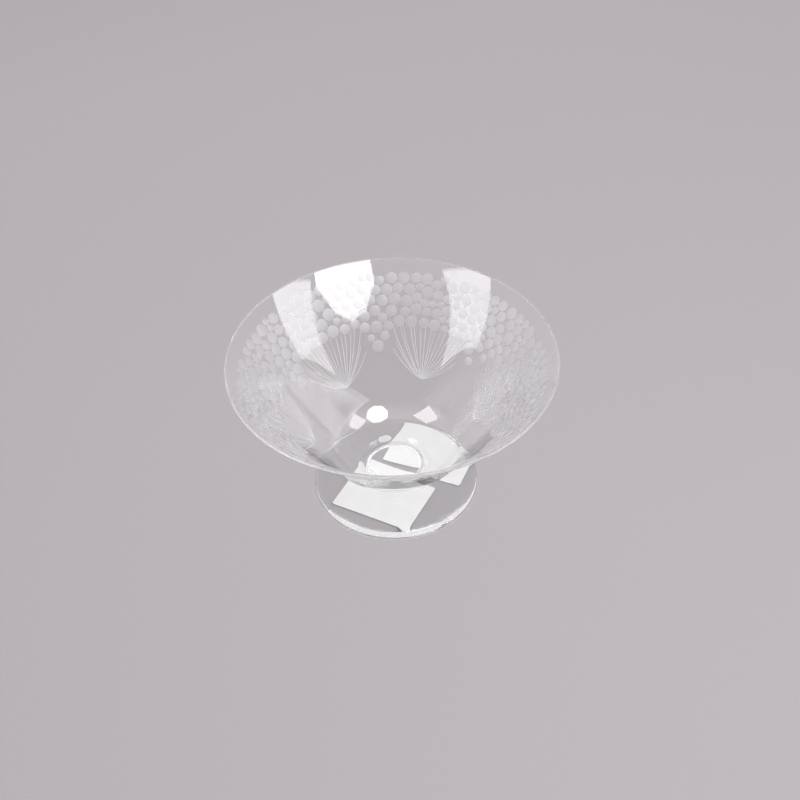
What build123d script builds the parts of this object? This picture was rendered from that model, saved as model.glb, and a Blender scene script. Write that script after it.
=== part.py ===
"""A footed glass bowl: a thin flared bowl on a short solid stem and a round foot,
with two blank paper labels stuck under the foot.

Millimetres. +Z is up. The origin is on the bowl's axis, in the plane of the contact ring
that the foot stands on. -Y is the front.
"""

import os
from math import cos, radians, sin, tan

from build123d import *

# Driving dimensions
RIM_RADIUS = 95.0
HEIGHT = 99.0
RIM_THICKNESS = 1.6
RIM_SLOPE = 42.4  # degrees from level, of the wall at the rim
WALL_SLOPE = 52.8  # degrees from level, inside, on the straight part of the wall
UPPER_WALL_THICKNESS = 1.8
LOWER_WALL_THICKNESS = 2.5

INSIDE_BOTTOM_HEIGHT = 17.0
DISH_RADIUS = 115.0  # curvature of the nearly flat bottom inside
DISH_EDGE_SLOPE = 6.0
TURN_RADIUS = 38.5  # curvature where the bottom turns up into the wall
FLARE_START_RADIUS = 65.0  # from here to the rim the wall opens a little more
UNDERSIDE_SLOPE = 24.0  # degrees; the wall keeps its thickness down to here, then runs into the stem

STEM_TOP_HEIGHT = 14.5
STEM_TOP_RADIUS = 17.5
STEM_WAIST_RADIUS = 15.8
STEM_FOOT_RADIUS = 19.5

FOOT_RADIUS = 50.0
FOOT_CENTRE_THICKNESS = 6.9  # at the stem
FOOT_EDGE_THICKNESS = 6.2  # where the rounded edge begins
FOOT_EDGE_ROUND = 5.0  # width of the rounded edge, seen from above
FOOT_LOWER_ROUND = 1.0
RECESS_RADIUS = 47.8
RECESS_DEPTH = 0.6
RECESS_SLOPE_WIDTH = 0.5  # the recess has a short sloping side

LABEL_THICKNESS = 0.15
LABEL_CORNER = 1.5
LABEL_LENGTH = 50.8
FRONT_LABEL_WIDTH = 38.1
FRONT_LABEL_CENTRE = (-7.6, -16.3)
FRONT_LABEL_TURN = -28.5  # degrees about the axis
REAR_LABEL_WIDTH = 45.0
REAR_LABEL_CENTRE = (23.7, 20.3)
REAR_LABEL_TURN = -23.2
LABEL_TRIM_RADIUS = 47.0  # the rear label is trimmed round, clear of the contact ring

os.makedirs("parts", exist_ok=True)


def towards(point, distance, angle):
    """The point at that distance from another one, at an angle in degrees from level."""
    return (point[0] + distance * cos(radians(angle)), point[1] + distance * sin(radians(angle)))


# The inside of the bowl, as points (radius, height) from the axis up to the rim
dish_start = (0.0, INSIDE_BOTTOM_HEIGHT)
dish_middle = towards((0.0, INSIDE_BOTTOM_HEIGHT + DISH_RADIUS), DISH_RADIUS, DISH_EDGE_SLOPE / 2 - 90)
dish_end = towards((0.0, INSIDE_BOTTOM_HEIGHT + DISH_RADIUS), DISH_RADIUS, DISH_EDGE_SLOPE - 90)
turn_centre = towards(dish_end, TURN_RADIUS, DISH_EDGE_SLOPE + 90)
turn_middle = towards(turn_centre, TURN_RADIUS, (DISH_EDGE_SLOPE + WALL_SLOPE) / 2 - 90)
turn_end = towards(turn_centre, TURN_RADIUS, WALL_SLOPE - 90)
wall_rise = (FLARE_START_RADIUS - turn_end[0]) * tan(radians(WALL_SLOPE))
flare_start = (FLARE_START_RADIUS, turn_end[1] + wall_rise)

# The rim is a half round between the inside and the outside of the wall
rim_centre = (RIM_RADIUS - RIM_THICKNESS / 2, HEIGHT - RIM_THICKNESS / 2)
rim_inside = towards(rim_centre, RIM_THICKNESS / 2, RIM_SLOPE + 90)
rim_top = towards(rim_centre, RIM_THICKNESS / 2, RIM_SLOPE)
rim_outside = towards(rim_centre, RIM_THICKNESS / 2, RIM_SLOPE - 90)

# The outside of the wall lies one thickness out from the inside
outer_flare_start = towards(flare_start, UPPER_WALL_THICKNESS, WALL_SLOPE - 90)
outer_turn_end = towards(turn_end, LOWER_WALL_THICKNESS, WALL_SLOPE - 90)
outer_turn_radius = TURN_RADIUS + LOWER_WALL_THICKNESS
outer_turn_middle = towards(turn_centre, outer_turn_radius, (UNDERSIDE_SLOPE + WALL_SLOPE) / 2 - 90)
outer_turn_start = towards(turn_centre, outer_turn_radius, UNDERSIDE_SLOPE - 90)
outer_wall = (outer_flare_start[0] - outer_turn_end[0], outer_flare_start[1] - outer_turn_end[1])
stem_joint = (STEM_TOP_RADIUS, STEM_TOP_HEIGHT)

# The bowl: one turned shell, flat underneath where the stem is fused to it
with BuildPart() as bowl:
    with BuildSketch(Plane.XZ):
        with BuildLine():
            ThreePointArc(dish_start, dish_middle, dish_end)
            ThreePointArc(dish_end, turn_middle, turn_end)
            Line(turn_end, flare_start)
            TangentArc(flare_start, rim_inside, tangent=(cos(radians(WALL_SLOPE)), sin(radians(WALL_SLOPE))))
            ThreePointArc(rim_inside, rim_top, rim_outside)
            TangentArc(outer_flare_start, rim_outside, tangent=outer_wall)
            Line(outer_flare_start, outer_turn_end)
            ThreePointArc(outer_turn_end, outer_turn_middle, outer_turn_start)
            TangentArc(outer_turn_start, stem_joint,
                       tangent=(-cos(radians(UNDERSIDE_SLOPE)), -sin(radians(UNDERSIDE_SLOPE))))
            Polyline(stem_joint, (0, STEM_TOP_HEIGHT), dish_start)
        make_face()
    revolve(axis=Axis.Z)
bowl.part.label = "bowl"
export_step(bowl.part, "parts/bowl.step")

# The stem: a short solid neck, waisted between the bowl and the foot
stem_waist_height = (STEM_TOP_HEIGHT + FOOT_CENTRE_THICKNESS) / 2
with BuildPart() as stem:
    with BuildSketch(Plane.XZ):
        with BuildLine():
            Polyline((STEM_FOOT_RADIUS, FOOT_CENTRE_THICKNESS), (0, FOOT_CENTRE_THICKNESS),
                     (0, STEM_TOP_HEIGHT), stem_joint)
            ThreePointArc(stem_joint, (STEM_WAIST_RADIUS, stem_waist_height),
                          (STEM_FOOT_RADIUS, FOOT_CENTRE_THICKNESS))
        make_face()
    revolve(axis=Axis.Z)
stem.part.label = "stem"
export_step(stem.part, "parts/stem.step")

# The foot: a thick disc, flat where the stem stands, with a rounded edge and a shallow recess below
edge_inner_radius = FOOT_RADIUS - FOOT_EDGE_ROUND
edge_round_height = FOOT_EDGE_THICKNESS - FOOT_LOWER_ROUND
ring_outer_radius = FOOT_RADIUS - FOOT_LOWER_ROUND
with BuildPart() as foot:
    with BuildSketch(Plane.XZ):
        with BuildLine():
            Polyline((0, RECESS_DEPTH), (0, FOOT_CENTRE_THICKNESS),
                     (STEM_FOOT_RADIUS, FOOT_CENTRE_THICKNESS), (edge_inner_radius, FOOT_EDGE_THICKNESS))
            EllipticalCenterArc((edge_inner_radius, FOOT_LOWER_ROUND), FOOT_EDGE_ROUND, edge_round_height,
                                start_angle=0, arc_size=90)
            JernArc((FOOT_RADIUS, FOOT_LOWER_ROUND), (0, -1), FOOT_LOWER_ROUND, -90)
            Polyline((ring_outer_radius, 0), (RECESS_RADIUS, 0),
                     (RECESS_RADIUS - RECESS_SLOPE_WIDTH, RECESS_DEPTH), (0, RECESS_DEPTH))
        make_face()
    revolve(axis=Axis.Z)
foot.part.label = "foot"
export_step(foot.part, "parts/foot.step")

# The labels: paper stuck up against the glass, inside the recess, so they don't touch the table
label_plane = Plane.XY.offset(RECESS_DEPTH - LABEL_THICKNESS)

with BuildPart() as front_label:
    with BuildSketch(label_plane):
        with Locations(Location((*FRONT_LABEL_CENTRE, 0), (0, 0, FRONT_LABEL_TURN))):
            RectangleRounded(LABEL_LENGTH, FRONT_LABEL_WIDTH, LABEL_CORNER)
    extrude(amount=LABEL_THICKNESS)
front_label.part.label = "front_label"
export_step(front_label.part, "parts/front_label.step")

with BuildPart() as rear_label:
    with BuildSketch(label_plane):
        with Locations(Location((*REAR_LABEL_CENTRE, 0), (0, 0, REAR_LABEL_TURN))):
            RectangleRounded(LABEL_LENGTH, REAR_LABEL_WIDTH, LABEL_CORNER)
        Circle(LABEL_TRIM_RADIUS, mode=Mode.INTERSECT)
    extrude(amount=LABEL_THICKNESS)
rear_label.part.label = "rear_label"
export_step(rear_label.part, "parts/rear_label.step")
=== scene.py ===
"""The looks of a footed glass bowl: a thin flared bowl whose wall carries matte cut dots and fine cut
stems, like flower umbels, on a short solid stem and a round foot with two blank labels under it.

Metres, in the part's own frame: +Z up, -Y the front, the origin on the axis in the plane it stands on.
"""

from math import atan2, cos, degrees, hypot, pi, radians, sin, tan

import bmesh
import bpy
import numpy as np
from mathutils import Matrix, Vector
from mathutils.geometry import delaunay_2d_cdt


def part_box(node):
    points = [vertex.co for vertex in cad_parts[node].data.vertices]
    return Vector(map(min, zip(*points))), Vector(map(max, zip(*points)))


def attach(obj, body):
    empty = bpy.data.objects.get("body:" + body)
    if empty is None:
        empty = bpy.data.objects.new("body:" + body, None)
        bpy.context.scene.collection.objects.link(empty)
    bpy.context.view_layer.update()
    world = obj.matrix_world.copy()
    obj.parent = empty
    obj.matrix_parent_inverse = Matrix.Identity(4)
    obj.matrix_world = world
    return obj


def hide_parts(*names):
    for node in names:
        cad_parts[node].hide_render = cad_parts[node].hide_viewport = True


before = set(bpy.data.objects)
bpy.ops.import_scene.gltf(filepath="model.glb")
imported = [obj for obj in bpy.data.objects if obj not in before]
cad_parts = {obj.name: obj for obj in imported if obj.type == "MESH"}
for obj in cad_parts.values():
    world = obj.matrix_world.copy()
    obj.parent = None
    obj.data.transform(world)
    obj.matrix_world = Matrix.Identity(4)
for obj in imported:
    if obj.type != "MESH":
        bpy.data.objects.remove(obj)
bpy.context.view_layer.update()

MM = 0.001

# The bowl's shape, as the CAD part has it
RIM_RADIUS = 95.0 * MM
HEIGHT = 99.0 * MM
RIM_THICKNESS = 1.6 * MM
RIM_SLOPE = 42.4
WALL_SLOPE = 52.8
UPPER_WALL_THICKNESS = 1.8 * MM
LOWER_WALL_THICKNESS = 2.5 * MM
INSIDE_BOTTOM_HEIGHT = 17.0 * MM
DISH_RADIUS = 115.0 * MM
DISH_EDGE_SLOPE = 6.0
TURN_RADIUS = 38.5 * MM
FLARE_START_RADIUS = 65.0 * MM
UNDERSIDE_SLOPE = 24.0
STEM_TOP_HEIGHT = 14.5 * MM
STEM_TOP_RADIUS = 17.5 * MM
STEM_WAIST_RADIUS = 15.8 * MM
STEM_FOOT_RADIUS = 19.5 * MM
FOOT_RADIUS = 50.0 * MM
FOOT_CENTRE_THICKNESS = 6.9 * MM
FOOT_EDGE_THICKNESS = 6.2 * MM
FOOT_EDGE_ROUND = 5.0 * MM
FOOT_LOWER_ROUND = 1.0 * MM
RECESS_RADIUS = 47.8 * MM
RECESS_DEPTH = 0.6 * MM
RECESS_SLOPE_WIDTH = 0.5 * MM

# The cutting on the wall. Distances down the wall are measured from the rim, along the glass
UMBEL_DIRECTIONS = (8.5, 68.2, 126.5, 187.0, 248.0, 308.0)  # degrees; cut by hand, so not quite even
SEAM_DIRECTION = 278.0  # between two umbels, where the unrolled wall begins and ends
DOTS_TOP = 7.5 * MM
DOTS_BOTTOM = 41.0 * MM
DOTS_BOTTOM_BETWEEN = 56.0 * MM
DOT_RADII = (4.15, 3.7, 3.35, 2.9, 2.4)  # mm
DOT_SHARES = (0.22, 0.26, 0.24, 0.16, 0.12)
DOT_FILL = 0.80  # share of the band that the dots cover
DOT_DEPTH = 0.22 * MM
DOT_CORNERS = 32
DOT_GAP = 0.12 * MM
SEED = 11
SETTLING_ROUNDS = 500  # enough for the dots to stop moving apart
SETTLING_PUSH = 0.45  # share of an overlap that each dot gives way in a round
UMBEL_HALF_ANGLE = 21.0  # degrees from an umbel's middle to where the band of dots starts to widen
BAND_WIDENING_ANGLE = 8.0  # degrees over which it widens
STEMS_FROM = 72.5 * MM
STEMS_TO = 38.5 * MM
LOW_STEMS_TO = 55.0 * MM
STEM_SPREAD = 24.0  # degrees each side at the top
STEM_COUNT = 19
CUT_STEM_WIDTH = 0.5 * MM
CUT_STEM_DEPTH = 0.12 * MM
GLASS_IOR = 1.52
ROUND_STEPS = 288  # segments round the axis


# ---------------------------------------------------------------- profiles of turned glass


def towards(point, distance, angle):
    """The point at that distance from another one, at an angle in degrees from level."""
    return (point[0] + distance * cos(radians(angle)), point[1] + distance * sin(radians(angle)))


def arc(centre, radius, start, end, steps):
    """Points of a circle's arc between two angles, with the direction of travel at each."""
    turn = 90 if end > start else -90
    angles = [start + (end - start) * i / steps for i in range(steps + 1)]
    return [(*towards(centre, radius, a), a + turn) for a in angles]


def line(start, end, steps):
    """Points of a straight run, with its direction at each."""
    angle = degrees(atan2(end[1] - start[1], end[0] - start[0]))
    return [
        (start[0] + (end[0] - start[0]) * i / steps, start[1] + (end[1] - start[1]) * i / steps, angle)
        for i in range(steps + 1)
    ]


def tangent_arc(start, end, direction, steps):
    """Points of the arc that leaves start in that direction and reaches end."""
    chord = hypot(end[0] - start[0], end[1] - start[1])
    bend = atan2(end[1] - start[1], end[0] - start[0]) - radians(direction)
    bend = (bend + pi) % (2 * pi) - pi
    radius = chord / (2 * sin(bend))
    points = []
    for i in range(steps + 1):
        part = bend * i / steps
        reach = 2 * radius * sin(part)
        points.append((*towards(start, reach, direction + degrees(part)), direction + degrees(2 * part)))
    return points


def bowl_profile():
    """The inside from the axis to the rim, the rim's half round, and the outside down to the stem."""
    dish_centre = (0.0, INSIDE_BOTTOM_HEIGHT + DISH_RADIUS)
    dish_end = towards(dish_centre, DISH_RADIUS, DISH_EDGE_SLOPE - 90)
    turn_centre = towards(dish_end, TURN_RADIUS, DISH_EDGE_SLOPE + 90)
    turn_end = towards(turn_centre, TURN_RADIUS, WALL_SLOPE - 90)
    wall_rise = (FLARE_START_RADIUS - turn_end[0]) * tan(radians(WALL_SLOPE))
    flare_start = (FLARE_START_RADIUS, turn_end[1] + wall_rise)
    rim_centre = (RIM_RADIUS - RIM_THICKNESS / 2, HEIGHT - RIM_THICKNESS / 2)
    rim_inside = towards(rim_centre, RIM_THICKNESS / 2, RIM_SLOPE + 90)
    rim_outside = towards(rim_centre, RIM_THICKNESS / 2, RIM_SLOPE - 90)
    outer_flare_start = towards(flare_start, UPPER_WALL_THICKNESS, WALL_SLOPE - 90)
    outer_turn_end = towards(turn_end, LOWER_WALL_THICKNESS, WALL_SLOPE - 90)
    outer_wall = (outer_flare_start[0] - outer_turn_end[0], outer_flare_start[1] - outer_turn_end[1])
    outer_slope = degrees(atan2(outer_wall[1], outer_wall[0]))
    inside = (
        arc(dish_centre, DISH_RADIUS, -90, DISH_EDGE_SLOPE - 90, 8)
        + arc(turn_centre, TURN_RADIUS, DISH_EDGE_SLOPE - 90, WALL_SLOPE - 90, 24)[1:]
        + line(turn_end, flare_start, 12)[1:]
        + tangent_arc(flare_start, rim_inside, WALL_SLOPE, 10)[1:]
    )
    rim = arc(rim_centre, RIM_THICKNESS / 2, RIM_SLOPE + 90, RIM_SLOPE - 90, 10)
    up_the_flare = tangent_arc(outer_flare_start, rim_outside, outer_slope, 10)
    wall = [(r, z, a - 180) for r, z, a in reversed(up_the_flare)]
    wall += line(outer_flare_start, outer_turn_end, 30)[1:]
    outer_radius = TURN_RADIUS + LOWER_WALL_THICKNESS
    under = arc(turn_centre, outer_radius, WALL_SLOPE - 90, UNDERSIDE_SLOPE - 90, 16)
    outer_turn_start = towards(turn_centre, outer_radius, UNDERSIDE_SLOPE - 90)
    stem_joint = (STEM_TOP_RADIUS, STEM_TOP_HEIGHT)
    under += tangent_arc(outer_turn_start, stem_joint, UNDERSIDE_SLOPE - 180, 8)[1:]
    return inside, rim, wall, under


# ---------------------------------------------------------------- mesh building


class Shell:
    """Vertices, faces, each face's finish and each corner's normal, gathered before they become a mesh."""

    def __init__(self):
        self.points, self.faces, self.finish, self.normals = [], [], [], []

    def add(self, points, faces, finish, normals):
        """normals holds one normal for each corner of each face."""
        first = len(self.points)
        self.points += [tuple(p) for p in points]
        self.faces += [tuple(first + i for i in f) for f in faces]
        self.finish += list(finish)
        self.normals += [[tuple(n) for n in corner] for corner in normals]

    def lathe(self, profile, finish, outward=True, steps=ROUND_STEPS):
        """A turned surface. outward says that its outside is on the right of the direction of travel."""
        rings, normals, points = [], [], []
        side = 1 if outward else -1
        for r, z, angle in profile:
            n = (side * sin(radians(angle)), -side * cos(radians(angle)))
            if r < 1e-7:
                rings.append([len(points)] * steps)
                points.append((0, 0, z))
                normals.append((0, 0, n[1]))
                continue
            rings.append(range(len(points), len(points) + steps))
            for i in range(steps):
                t = 2 * pi * i / steps + radians(SEAM_DIRECTION)
                points.append((r * cos(t), r * sin(t), z))
                normals.append((n[0] * cos(t), n[0] * sin(t), n[1]))
        faces = []
        for lower, upper in zip(rings, rings[1:]):
            for i in range(steps):
                j = (i + 1) % steps
                corners = [lower[i], lower[j], upper[j], upper[i]]
                corners = [c for k, c in enumerate(corners) if c != corners[k - 1]]
                faces.append(corners if outward else corners[::-1])
        self.add(points, faces, [finish] * len(faces), [[normals[c] for c in f] for f in faces])

    def build(self, name, materials):
        """The mesh object, with what lies in the same place welded."""
        mesh = bpy.data.meshes.new(name)
        mesh.from_pydata(self.points, [], self.faces)
        for material in materials:
            mesh.materials.append(material)
        mesh.polygons.foreach_set("material_index", self.finish)
        mesh.polygons.foreach_set("use_smooth", [True] * len(self.faces))
        kept = mesh.attributes.new("corner_normal", "FLOAT_VECTOR", "CORNER")
        kept.data.foreach_set("vector", np.array([n for f in self.normals for n in f], np.float32).ravel())
        work = bmesh.new()
        work.from_mesh(mesh)
        bmesh.ops.remove_doubles(work, verts=work.verts, dist=0.002 * MM)
        work.to_mesh(mesh)
        work.free()
        normals = np.empty(len(mesh.loops) * 3, np.float32)
        mesh.attributes["corner_normal"].data.foreach_get("vector", normals)
        mesh.attributes.remove(mesh.attributes["corner_normal"])
        mesh.normals_split_custom_set(normals.reshape(-1, 3).tolist())
        piece = bpy.data.objects.new(name, mesh)
        bpy.context.scene.collection.objects.link(piece)
        return piece


# ---------------------------------------------------------------- the cut pattern


class Wall:
    """The outside of the bowl's wall, unrolled: x is round the wall and s is down it from the rim."""

    def __init__(self, profile):
        self.r = np.array([p[0] for p in profile])
        self.z = np.array([p[1] for p in profile])
        self.angle = np.array([p[2] for p in profile])
        runs = np.hypot(np.diff(self.r), np.diff(self.z))
        self.s = np.concatenate([[0], np.cumsum(runs)])
        self.length = float(self.s[-1])
        self.scale = float(np.interp(STEMS_TO, self.s, self.r))  # metres of x for a radian
        self.width = 2 * pi * self.scale

    def radius(self, s):
        return np.interp(s, self.s, self.r)

    def x_of(self, direction):
        """x of a direction in degrees about the axis, from 0 to the width."""
        return (radians(direction - SEAM_DIRECTION) % (2 * pi)) * self.scale

    def place(self, x, s, depth, lean_x=0.0, lean_s=0.0):
        """Points on the wall, sunk by depth, and the normals of a surface that leans by those slopes."""
        t = x / self.scale + radians(SEAM_DIRECTION)
        r, z = np.interp(s, self.s, self.r), np.interp(s, self.s, self.z)
        a = np.radians(np.interp(s, self.s, self.angle))
        down = np.stack([np.cos(a) * np.cos(t), np.cos(a) * np.sin(t), np.sin(a)], -1)
        out = np.stack([-np.sin(a) * np.cos(t), -np.sin(a) * np.sin(t), np.cos(a)], -1)
        around = np.stack([-np.sin(t), np.cos(t), np.zeros_like(t)], -1)
        points = np.stack([r * np.cos(t), r * np.sin(t), z], -1) - out * np.asarray(depth)[..., None]
        normals = out + around * np.asarray(lean_x)[..., None] + down * np.asarray(lean_s)[..., None]
        return points, normals / np.linalg.norm(normals, axis=-1, keepdims=True)


def band_bottom(wall, x):
    """How far down the wall the dots reach: lower between the umbels than above their stems."""
    nearest = np.full(np.shape(x), 1e9)
    for direction in UMBEL_DIRECTIONS:
        away = np.abs(x - wall.x_of(direction))
        nearest = np.minimum(nearest, np.minimum(away, wall.width - away))
    t = np.clip((np.degrees(nearest / wall.scale) - UMBEL_HALF_ANGLE) / BAND_WIDENING_ANGLE, 0, 1)
    return DOTS_BOTTOM + (DOTS_BOTTOM_BETWEEN - DOTS_BOTTOM) * t * t * (3 - 2 * t)


def scatter_dots(wall, rng):
    """Dots of mixed sizes, pushed apart until they lie side by side in the band: (x, s, radius) rows."""
    xs = np.linspace(0, wall.width, 721)[:-1]
    bottoms = band_bottom(wall, xs)
    area = 0.0
    for bottom in bottoms:
        down = np.linspace(DOTS_TOP, bottom, 30)
        area += np.trapz(wall.radius(down), down) * 2 * pi / len(xs)
    radii = []
    while sum(pi * q * q for q in radii) < DOT_FILL * area:
        radii.append(rng.choice(DOT_RADII, p=DOT_SHARES) * MM * rng.uniform(0.96, 1.04))
    q = np.array(sorted(radii, reverse=True))
    x = rng.uniform(0, wall.width, len(q))
    s = DOTS_TOP + (band_bottom(wall, x) - DOTS_TOP) * np.sqrt(rng.uniform(0, 1, len(q))) ** 0.9
    for _ in range(SETTLING_ROUNDS):
        dx = x[:, None] - x[None, :]
        dx -= wall.width * np.round(dx / wall.width)
        stretch = wall.radius((s[:, None] + s[None, :]) / 2) / wall.scale
        dx = dx * stretch
        ds = s[:, None] - s[None, :]
        far = np.hypot(dx, ds)
        np.fill_diagonal(far, 1.0)
        over = np.clip(q[:, None] + q[None, :] + DOT_GAP - far, 0, None)
        np.fill_diagonal(over, 0)
        push = over / far * SETTLING_PUSH
        x = (x + (push * dx).sum(1) / (wall.radius(s) / wall.scale)) % wall.width
        s = s + (push * ds).sum(1)
        s = np.clip(s, DOTS_TOP + q, band_bottom(wall, x) - q * 0.7)
    dx = x[:, None] - x[None, :]
    dx -= wall.width * np.round(dx / wall.width)
    far = np.hypot(dx * wall.radius((s[:, None] + s[None, :]) / 2) / wall.scale, s[:, None] - s[None, :])
    np.fill_diagonal(far, 1.0)
    for i in range(len(q)):  # what is still pressed together is cut a little smaller
        room = (far[i] - q).min() - 0.05 * MM
        q[i] = max(min(q[i], room), 0.62 * q[i])
    return np.stack([x, s, q], -1)


def umbel_stems(wall, rng):
    """Each cut stem's centreline as rows of (x, s), from the fan's foot to its tip."""
    stems = []
    for direction in UMBEL_DIRECTIONS:
        foot = wall.x_of(direction)
        for k in range(STEM_COUNT):
            u = 2 * k / (STEM_COUNT - 1) - 1
            low = abs(u) > 0.85
            spread = STEM_SPREAD * (0.88 * u if low else 1.12 * u)
            if low:
                tip_s = LOW_STEMS_TO - 4 * MM * (abs(u) < 0.95)
            else:
                tip_s = STEMS_TO + rng.uniform(-1.5, 2.5) * MM
            tip_x = foot + radians(spread + rng.uniform(-0.5, 0.5)) * wall.scale
            knee_x = foot + (tip_x - foot) * (0.66 if low else 0.76)
            knee_s = STEMS_FROM - (0.5 - 0.26 * abs(u)) * (STEMS_FROM - tip_s)
            start_x = foot + u * 0.9 * MM
            t = np.linspace(0, 1, 13)
            x = (1 - t) ** 2 * start_x + 2 * t * (1 - t) * knee_x + t * t * tip_x
            s = (1 - t) ** 2 * STEMS_FROM + 2 * t * (1 - t) * knee_s + t * t * tip_s
            stems.append(np.stack([x, s], -1))
    return stems


def stem_half_width(count):
    """Half the cut's width along a stem: fine at both ends."""
    t = np.linspace(0, 1, count)
    return CUT_STEM_WIDTH / 2 * (0.35 + 0.65 * np.sin(pi * np.clip(t * 0.9 + 0.08, 0, 1)) ** 0.5)


def cut_wall(shell, wall, dots, stems, finishes):
    """The wall's outside, with the dots hollowed and the stems grooved, as triangles."""
    points, edges = [], []

    def chain(rows, closed):
        first = len(points)
        points.extend((float(a), float(b)) for a, b in rows)
        count = len(rows)
        edges.extend((first + i, first + (i + 1) % count) for i in range(count if closed else count - 1))

    # The band's border, with the same steps round as the turned surfaces beside it
    columns = np.arange(ROUND_STEPS + 1) * wall.width / ROUND_STEPS
    for s in (0.0, wall.length):
        chain([(x, s) for x in columns], False)
    rows = np.linspace(0, wall.length, 41)
    for x in (0.0, wall.width):
        chain([(x, s) for s in rows], False)
    # Dots, repeated across the seam
    copies = []
    for x, s, q in dots:
        stretch = wall.scale / float(wall.radius(s))
        shifts = [0.0]
        if x < 3 * q:
            shifts.append(wall.width)
        if x > wall.width - 3 * q:
            shifts.append(-wall.width)
        copies += [(x + shift, s, q) for shift in shifts]
    corners = np.linspace(0, 2 * pi, DOT_CORNERS, endpoint=False)
    for x, s, q in copies:
        for share, some in ((1.0, corners), (0.72, corners[::2]), (0.36, corners[::4])):
            ring_s = s + share * q * np.sin(some)
            ring_x = x + share * q * np.cos(some) * wall.scale / wall.radius(ring_s)
            if share == 1.0:
                chain(np.stack([ring_x, ring_s], -1), True)
            else:
                points.extend(zip(ring_x.tolist(), ring_s.tolist()))
        points.append((float(x), float(s)))
    # Stems: two edges and the groove's bottom line
    for rows_ in stems:
        half = stem_half_width(len(rows_))
        run = np.gradient(rows_, axis=0)
        stretch = wall.radius(rows_[:, 1]) / wall.scale
        tangent = np.stack([run[:, 0] * stretch, run[:, 1]], -1)
        tangent /= np.linalg.norm(tangent, axis=1, keepdims=True)
        side = np.stack([-tangent[:, 1] / stretch, tangent[:, 0]], -1)
        left, right = rows_ + side * half[:, None], rows_ - side * half[:, None]
        chain(np.concatenate([left, right[::-1]]), True)
        chain(rows_, False)
    # Points in the clear glass between, to follow its curve
    cuts = np.array(copies)
    grid_x, grid_s = np.meshgrid(columns[1:-1], rows[1:-1])
    grid = np.stack([grid_x.ravel(), grid_s.ravel()], -1)
    keep = np.ones(len(grid), bool)
    for x, s, q in cuts:
        near = np.hypot((grid[:, 0] - x) * wall.radius(grid[:, 1]) / wall.scale, grid[:, 1] - s)
        keep &= near > q + 0.5 * MM
    for rows_ in stems:
        for a in rows_:
            keep &= np.hypot(grid[:, 0] - a[0], grid[:, 1] - a[1]) > 1.3 * MM
    points.extend(map(tuple, grid[keep].tolist()))

    result = delaunay_2d_cdt([Vector(p) * 1000 for p in points], edges, [], 0, 1e-5, False)
    flat = np.array([tuple(v) for v in result[0]]) / 1000
    triangles = np.array([f for f in result[2] if len(f) == 3])
    middle = flat[triangles].mean(1)
    inside = (middle > 0).all(1) & (middle < (wall.width, wall.length)).all(1)
    triangles, middle = triangles[inside], middle[inside]

    # Depth of every point, and which faces lie in a dot or a stem
    depth = np.zeros(len(flat))
    lean = np.zeros((len(flat), 2))
    kind = np.zeros(len(triangles), int)
    for x, s, q in copies:
        scale = wall.radius(flat[:, 1]) / wall.scale
        dx, ds = (flat[:, 0] - x) * scale, flat[:, 1] - s
        away = np.hypot(dx, ds)
        near = np.where(away < q * 0.999)[0]
        sunk = DOT_DEPTH * (1 - (away[near] / q) ** 2)
        deeper = sunk > depth[near]
        depth[near[deeper]] = sunk[deeper]
        ring = np.where(away < q * 1.02)[0]
        lean[ring, 0] = -2 * DOT_DEPTH * dx[ring] / q**2
        lean[ring, 1] = -2 * DOT_DEPTH * ds[ring] / q**2
        scale = wall.radius(middle[:, 1]) / wall.scale
        kind[np.hypot((middle[:, 0] - x) * scale, middle[:, 1] - s) < q * 0.995] = 1
    for rows_ in stems:
        half = stem_half_width(len(rows_))
        low, high = rows_.min(0) - 1 * MM, rows_.max(0) + 1 * MM
        for cloud, is_face in ((flat, False), (middle, True)):
            near = np.where(((cloud > low) & (cloud < high)).all(1))[0]
            best = np.full(len(near), 1e9)
            width = np.zeros(len(near))
            for a, b, ha, hb in zip(rows_, rows_[1:], half, half[1:]):
                scale = wall.radius((a[1] + b[1]) / 2) / wall.scale
                squeeze = np.array([scale, 1.0])
                p, run = (cloud[near] - a) * squeeze, (b - a) * squeeze
                t = np.clip(p @ run / (run @ run), 0, 1)
                away = np.linalg.norm(p - t[:, None] * run, axis=1)
                closer = away < best
                best[closer], width[closer] = away[closer], (ha + (hb - ha) * t)[closer]
            share = 1 - best / np.maximum(width, 1e-9)
            if is_face:
                kind[near[share > 0.02]] = 2
            else:
                sunk = np.clip(share, 0, 1) * CUT_STEM_DEPTH * width / (CUT_STEM_WIDTH / 2)
                depth[near] = np.maximum(depth[near], np.where(share > 0.05, sunk, 0))
    depth[(flat[:, 1] <= 0) | (flat[:, 1] >= wall.length)] = 0

    places, clear = wall.place(flat[:, 0], flat[:, 1], depth)
    _, hollow = wall.place(flat[:, 0], flat[:, 1], depth, lean[:, 0], lean[:, 1])
    corners_ = places[triangles]
    face_normals = np.cross(corners_[:, 1] - corners_[:, 0], corners_[:, 2] - corners_[:, 0])
    flip = np.sum(face_normals * clear[triangles[:, 0]], -1) < 0
    triangles[flip] = triangles[flip][:, ::-1]
    face_normals[flip] *= -1
    size = np.linalg.norm(face_normals, axis=1, keepdims=True)
    face_normals /= np.maximum(size, 1e-20)
    normals = np.where((kind == 1)[:, None, None], hollow[triangles], clear[triangles])
    normals = np.where((kind == 2)[:, None, None], face_normals[:, None, :].repeat(3, 1), normals)
    used, renumbered = np.unique(triangles, return_inverse=True)
    shell.add(places[used], renumbered.reshape(-1, 3).tolist(), [finishes[k] for k in kind], normals)
    return len(triangles)


# ---------------------------------------------------------------- materials


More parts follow.
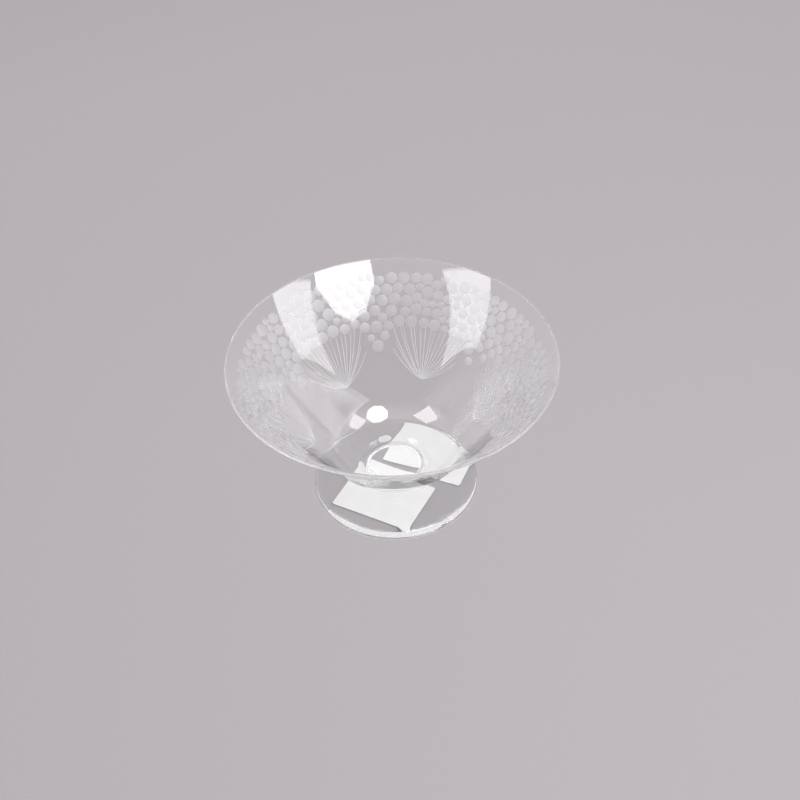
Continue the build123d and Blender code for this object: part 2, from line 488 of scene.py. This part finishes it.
def principled(name, **values):
    """A material with one Principled shader, its values set on the shader's own sockets."""
    material = bpy.data.materials.new(name)
    material.use_nodes = True
    shader = material.node_tree.nodes["Principled BSDF"]
    for socket, value in values.items():
        shader.inputs[socket.replace("_", " ")].default_value = value
    return material, material.node_tree, shader


def noise(tree, scale, detail=3.0, roughness=0.5):
    """A noise texture on the object's own coordinates."""
    place = tree.nodes.new("ShaderNodeTexCoord")
    texture = tree.nodes.new("ShaderNodeTexNoise")
    texture.inputs["Scale"].default_value = scale
    texture.inputs["Detail"].default_value = detail
    texture.inputs["Roughness"].default_value = roughness
    tree.links.new(place.outputs["Object"], texture.inputs["Vector"])
    return texture


def spread(tree, source, low, high, from_low=0.3, from_high=0.7):
    """A value between from_low and from_high, mapped to the range from low to high."""
    node = tree.nodes.new("ShaderNodeMapRange")
    node.inputs["From Min"].default_value = from_low
    node.inputs["From Max"].default_value = from_high
    node.inputs["To Min"].default_value = low
    node.inputs["To Max"].default_value = high
    tree.links.new(source, node.inputs["Value"])
    return node.outputs["Result"]


def bump(tree, shader, source, strength, distance):
    """Roughens the shader's normals with a texture."""
    node = tree.nodes.new("ShaderNodeBump")
    node.inputs["Strength"].default_value = strength
    node.inputs["Distance"].default_value = distance
    tree.links.new(source, node.inputs["Height"])
    tree.links.new(node.outputs["Normal"], shader.inputs["Normal"])


def clear_glass(name, tint):
    """Polished clear glass, its surface very slightly uneven."""
    material, tree, shader = principled(
        name, Base_Color=(tint, tint, tint, 1), Transmission_Weight=1.0, IOR=GLASS_IOR, Roughness=0.0)
    smears = noise(tree, 60, 4)
    tree.links.new(spread(tree, smears.outputs["Fac"], 0.0, 0.012, 0.5, 0.8), shader.inputs["Roughness"])
    waves = noise(tree, 22, 1)
    bump(tree, shader, waves.outputs["Fac"], 0.1, 0.05 * MM)
    return material


def matte_cut(name, transmission, grain_height):
    """Glass ground matte by the cutting wheel: it lets blurred light through and scatters some back."""
    material, tree, shader = principled(
        name, Base_Color=(0.93, 0.935, 0.94, 1), Transmission_Weight=transmission,
        IOR=GLASS_IOR, Roughness=0.4)
    grain = noise(tree, 1400, 4, 0.65)
    tree.links.new(spread(tree, grain.outputs["Fac"], 0.32, 0.5), shader.inputs["Roughness"])
    bump(tree, shader, grain.outputs["Fac"], 0.6, grain_height)
    return material


def polished_rim():
    """The rim is ground and only half polished, so its highlight is soft."""
    material, tree, shader = principled(
        "polished_rim", Base_Color=(0.97, 0.975, 0.98, 1), Transmission_Weight=0.95,
        IOR=GLASS_IOR, Roughness=0.4)
    wear = noise(tree, 300, 3)
    tree.links.new(spread(tree, wear.outputs["Fac"], 0.35, 0.45), shader.inputs["Roughness"])
    return material


def fused_joint():
    """Where two gathers of glass are fused there is no surface: it lets everything through unbent."""
    material = bpy.data.materials.new("fused_joint")
    material.use_nodes = True
    tree = material.node_tree
    tree.nodes.remove(tree.nodes["Principled BSDF"])
    through = tree.nodes.new("ShaderNodeBsdfTransparent")
    tree.links.new(through.outputs["BSDF"], tree.nodes["Material Output"].inputs["Surface"])
    return material


def label_paper():
    """Matt white label paper with a faint fibre grain and a slight unevenness of tone."""
    material, tree, shader = principled("label_paper", Base_Color=(0.9, 0.9, 0.89, 1), Roughness=0.7)
    tone = noise(tree, 90, 3)
    ramp = tree.nodes.new("ShaderNodeMix")
    ramp.data_type = "RGBA"
    ramp.inputs["A"].default_value = (0.84, 0.845, 0.845, 1)
    ramp.inputs["B"].default_value = (0.89, 0.895, 0.895, 1)
    tree.links.new(spread(tree, tone.outputs["Fac"], 0, 1), ramp.inputs["Factor"])
    tree.links.new(ramp.outputs["Result"], shader.inputs["Base Color"])
    fibre = noise(tree, 2500, 2)
    tree.links.new(spread(tree, fibre.outputs["Fac"], 0.6, 0.8), shader.inputs["Roughness"])
    bump(tree, shader, fibre.outputs["Fac"], 0.3, 0.02 * MM)
    return material


GLASS = clear_glass("bowl_glass", 0.985)
SHADED_THICK_GLASS = clear_glass("foot_glass_painted_shade", 0.78)  # darker: painted shade, standing in for the shadow that the stem and foot do not cast and for the light lost on its way down to the labels
MATTE_DOT = matte_cut("matte_dot", 0.93, 0.02 * MM)
MATTE_STEM = matte_cut("matte_stem", 0.65, 0.02 * MM)
RIM = polished_rim()
JOINT = fused_joint()
PAPER = label_paper()


# ---------------------------------------------------------------- the pieces


def make_bowl():
    """The bowl with its cut pattern; the pattern is seeded, so it comes out the same each time."""
    inside, rim, outside, under = bowl_profile()
    shell = Shell()
    shell.lathe(inside, 0, outward=False)
    shell.lathe(rim, 4, outward=False)
    wall = Wall(outside)
    rng = np.random.default_rng(SEED)
    dots = scatter_dots(wall, rng)
    stems = umbel_stems(wall, rng)
    faces = cut_wall(shell, wall, dots, stems, (0, 1, 2))
    print("cut wall:", len(dots), "dots,", len(stems), "stems,", faces, "triangles")
    shell.lathe(under, 0, outward=False)
    shell.lathe(line((STEM_TOP_RADIUS, STEM_TOP_HEIGHT), (0, STEM_TOP_HEIGHT), 3), 3, outward=False)
    return shell.build("engraved_bowl", [GLASS, MATTE_DOT, MATTE_STEM, JOINT, RIM])


def make_stem():
    """The waisted neck between the bowl and the foot."""
    shell = Shell()
    waist_height = (STEM_TOP_HEIGHT + FOOT_CENTRE_THICKNESS) / 2
    top, waist, low = (
        (STEM_TOP_RADIUS, STEM_TOP_HEIGHT),
        (STEM_WAIST_RADIUS, waist_height),
        (STEM_FOOT_RADIUS, FOOT_CENTRE_THICKNESS),
    )
    centre, radius = circle_through(top, waist, low)
    start = degrees(atan2(top[1] - centre[1], top[0] - centre[0])) % 360
    end = degrees(atan2(low[1] - centre[1], low[0] - centre[0])) % 360
    shell.lathe(line((0, STEM_TOP_HEIGHT), top, 3), 1, outward=False)
    shell.lathe(arc(centre, radius, start, end, 20), 0, outward=False)
    shell.lathe(line(low, (0, FOOT_CENTRE_THICKNESS), 3), 1, outward=False)
    return shell.build("glass_stem", [SHADED_THICK_GLASS, JOINT])


def circle_through(a, b, c):
    """The centre and radius of the circle through three points."""
    (ax, ay), (bx, by), (cx, cy) = a, b, c
    d = 2 * (ax * (by - cy) + bx * (cy - ay) + cx * (ay - by))
    aa, bb, cc = ax * ax + ay * ay, bx * bx + by * by, cx * cx + cy * cy
    x = (aa * (by - cy) + bb * (cy - ay) + cc * (ay - by)) / d
    y = (aa * (cx - bx) + bb * (ax - cx) + cc * (bx - ax)) / d
    return (x, y), hypot(ax - x, ay - y)


def ellipse_quarter(centre, wide, high, steps):
    """From the top of the quarter to its side, with the direction of travel."""
    rows = []
    for i in range(steps + 1):
        t = pi / 2 * (1 - i / steps)
        rows.append((centre[0] + wide * cos(t), centre[1] + high * sin(t),
                     degrees(atan2(-high * cos(t), wide * sin(t)))))
    return rows


def make_foot():
    """The round foot, with its rounded edge, contact ring and recess."""
    edge = FOOT_RADIUS - FOOT_EDGE_ROUND
    joint = (STEM_FOOT_RADIUS, FOOT_CENTRE_THICKNESS)
    ring_outer = FOOT_RADIUS - FOOT_LOWER_ROUND
    shell = Shell()
    shell.lathe(line((0, FOOT_CENTRE_THICKNESS), joint, 3), 1, outward=False)
    shell.lathe(line(joint, (edge, FOOT_EDGE_THICKNESS), 6), 0, outward=False)
    shell.lathe(ellipse_quarter((edge, FOOT_LOWER_ROUND), FOOT_EDGE_ROUND,
                                FOOT_EDGE_THICKNESS - FOOT_LOWER_ROUND, 24), 0, outward=False)
    shell.lathe(arc((ring_outer, FOOT_LOWER_ROUND), FOOT_LOWER_ROUND, 0, -90, 10), 0, outward=False)
    shell.lathe(line((ring_outer, 0), (RECESS_RADIUS, 0), 2), 0, outward=False)
    recess_edge = (RECESS_RADIUS - RECESS_SLOPE_WIDTH, RECESS_DEPTH)
    shell.lathe(line((RECESS_RADIUS, 0), recess_edge, 2), 0, outward=False)
    shell.lathe(line(recess_edge, (0, RECESS_DEPTH), 12), 0, outward=False)
    return shell.build("glass_foot", [SHADED_THICK_GLASS, JOINT])


def make_label(node, name):
    """A label with the outline of its CAD node, pressed up into the glass so that no air lies between."""
    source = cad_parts[node]
    mesh = source.data.copy()
    mesh.name = name
    press = 0.03 * MM
    low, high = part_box(node)
    for vertex in mesh.vertices:
        if vertex.co.z > (low.z + high.z) / 2:
            vertex.co.z += press
    mesh.materials.clear()
    mesh.materials.append(PAPER)
    piece = bpy.data.objects.new(name, mesh)
    bpy.context.scene.collection.objects.link(piece)
    return piece


bowl, stem, foot = make_bowl(), make_stem(), make_foot()
for piece, node, slot in ((bowl, "bowl", "engraved_glass"), (stem, "stem", "clear_glass"),
                          (foot, "foot", "clear_glass")):
    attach(piece, "root")
    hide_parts(node)
    piece.visible_shadow = False
    piece.visible_diffuse = False  # with the line above: the glass casts no shadow on the paper and the floor
for node in ("front_label", "rear_label"):
    piece = make_label(node, "paper_" + node)
    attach(piece, "root")
    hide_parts(node)


# ---------------------------------------------------------------- floor, light and camera


FLOOR_COLOUR = (0.440, 0.416, 0.435)  # pale grey with a hint of magenta


def make_floor():
    """A plain floor, its colour painted paler towards the back and the left: painted light, for how the
    lamps' light falls across it.
    """
    mesh = bpy.data.meshes.new("floor")
    half, low = 3.0, -0.03 * MM  # a hair of air stays under the contact ring
    corners = [(-half, -half, low), (half, -half, low), (half, half, low), (-half, half, low)]
    mesh.from_pydata(corners, [], [(0, 1, 2, 3)])
    material, tree, shader = principled("floor_paper", Roughness=0.85)
    place = tree.nodes.new("ShaderNodeTexCoord")
    painted_light_slope = tree.nodes.new("ShaderNodeVectorMath")
    painted_light_slope.operation = "DOT_PRODUCT"
    painted_light_slope.inputs[1].default_value = (-0.2, 0.44, 0)
    tree.links.new(place.outputs["Object"], painted_light_slope.inputs[0])
    # Painted light: the colour is made paler towards the back and the left to stand in for how the light
    # falls across the floor.
    tone = spread(tree, painted_light_slope.outputs["Value"], 0.9, 1.13, -0.2, 0.25)
    fibre = spread(tree, noise(tree, 400, 3).outputs["Fac"], 0.99, 1.01)
    painted_light_and_fibre = tree.nodes.new("ShaderNodeMath")
    painted_light_and_fibre.operation = "MULTIPLY"
    tree.links.new(tone, painted_light_and_fibre.inputs[0])
    tree.links.new(fibre, painted_light_and_fibre.inputs[1])
    colour = tree.nodes.new("ShaderNodeVectorMath")
    colour.operation = "SCALE"
    colour.inputs[0].default_value = FLOOR_COLOUR
    tree.links.new(painted_light_and_fibre.outputs[0], colour.inputs["Scale"])
    tree.links.new(colour.outputs["Vector"], shader.inputs["Base Color"])
    mesh.materials.append(material)
    floor = bpy.data.objects.new("floor", mesh)
    bpy.context.scene.collection.objects.link(floor)


LIGHT_TARGET = Vector((0, 0, 0.04))
LIGHT_DISTANCE = 1.3


def direction(azimuth, elevation):
    """The unit vector at that azimuth and elevation, in degrees."""
    a, e = radians(azimuth), radians(elevation)
    return Vector((cos(e) * cos(a), cos(e) * sin(a), sin(e)))


def softbox(name, corners, strength):
    """A glowing panel, given by its corners: places in the room."""
    mesh = bpy.data.meshes.new(name)
    mesh.from_pydata([tuple(corner) for corner in corners], [], [tuple(range(len(corners)))])
    material = bpy.data.materials.new(name)
    material.use_nodes = True
    tree = material.node_tree
    tree.nodes.remove(tree.nodes["Principled BSDF"])
    glow = tree.nodes.new("ShaderNodeEmission")
    glow.inputs["Strength"].default_value = strength
    tree.links.new(glow.outputs["Emission"], tree.nodes["Material Output"].inputs["Surface"])
    mesh.materials.append(material)
    panel = bpy.data.objects.new(name, mesh)
    bpy.context.scene.collection.objects.link(panel)
    panel.visible_camera = False
    return panel


def octabox(azimuth, elevation, radius, turn, strength):
    """An eight-sided softbox that faces the bowl."""
    away = direction(azimuth, elevation)
    across = Vector((0, 0, 1)).cross(away).normalized()
    up = away.cross(across)
    angles = [radians(turn + 45 * i) for i in range(8)]
    middle = LIGHT_TARGET + away * LIGHT_DISTANCE
    softbox("octabox", [middle + (across * cos(a) + up * sin(a)) * radius for a in angles], strength)


def square_softbox(name, corner_directions, strength):
    """A four-cornered softbox, by the direction in which each corner is seen from the bowl."""
    corners = [LIGHT_TARGET + direction(*d) * LIGHT_DISTANCE for d in corner_directions]
    panel = softbox(name, corners, strength)
    panel.visible_diffuse = False  # it shows in the glass and leaves the floor evenly lit


def make_lights():
    """One octagonal lamp at the front right, a square one on each side, and the room."""
    octabox(-49.9, 54.1, 0.36, 36, 8.5)
    square_softbox("right_softbox", ((-18.4, 24.5), (5.5, 18.7), (6, 46), (-22, 52)), 5.0)
    square_softbox("left_softbox", ((-151, 27.5), (-179.3, 21.3), (-174.5, 50), (-138, 56)), 5.0)
    make_world()


BACKDROP_DIRECTION = (0, 0.6, 0.8)  # behind and above
BACKDROP_GLOW = 0.85
CAMERA_ROLL = -1.806  # degrees


def make_world():
    """A dark room in front, and a lit backdrop and ceiling behind and above, which light the floor too."""
    world = bpy.data.worlds.new("studio")
    bpy.context.scene.world = world
    world.use_nodes = True
    tree = world.node_tree
    place = tree.nodes.new("ShaderNodeTexCoord")
    height = tree.nodes.new("ShaderNodeVectorMath")
    height.operation = "DOT_PRODUCT"
    height.inputs[1].default_value = BACKDROP_DIRECTION
    tree.links.new(place.outputs["Generated"], height.inputs[0])
    glow = spread(tree, height.outputs["Value"], 0.12, BACKDROP_GLOW, 0.0, 0.35)
    tree.nodes["Background"].inputs["Color"].default_value = (1.0, 0.97, 0.99, 1)
    tree.links.new(glow, tree.nodes["Background"].inputs["Strength"])


def make_camera():
    """In front of the bowl and above it, looking down at about 42 degrees."""
    camera = bpy.data.objects.new("camera", bpy.data.cameras.new("camera"))
    bpy.context.scene.collection.objects.link(camera)
    camera.data.lens = 64.23
    camera.data.sensor_width = 36.0
    camera.location = (0, -0.61352, 0.62830)
    aim = Vector((0.00411, 0.02864, 0.04))
    look = (aim - camera.location).to_track_quat("-Z", "Y")
    camera.rotation_mode = "QUATERNION"
    camera.rotation_quaternion = look @ Matrix.Rotation(radians(CAMERA_ROLL), 4, "Z").to_quaternion()
    bpy.context.scene.camera = camera


make_floor()
make_lights()
make_camera()

scene = bpy.context.scene
scene.view_settings.view_transform = "Standard"
scene.cycles.caustics_reflective = False
scene.cycles.caustics_refractive = False
scene.cycles.max_bounces = 24
scene.cycles.transmission_bounces = 24
scene.cycles.glossy_bounces = 16
scene.cycles.transparent_max_bounces = 24
scene.cycles.use_denoising = True
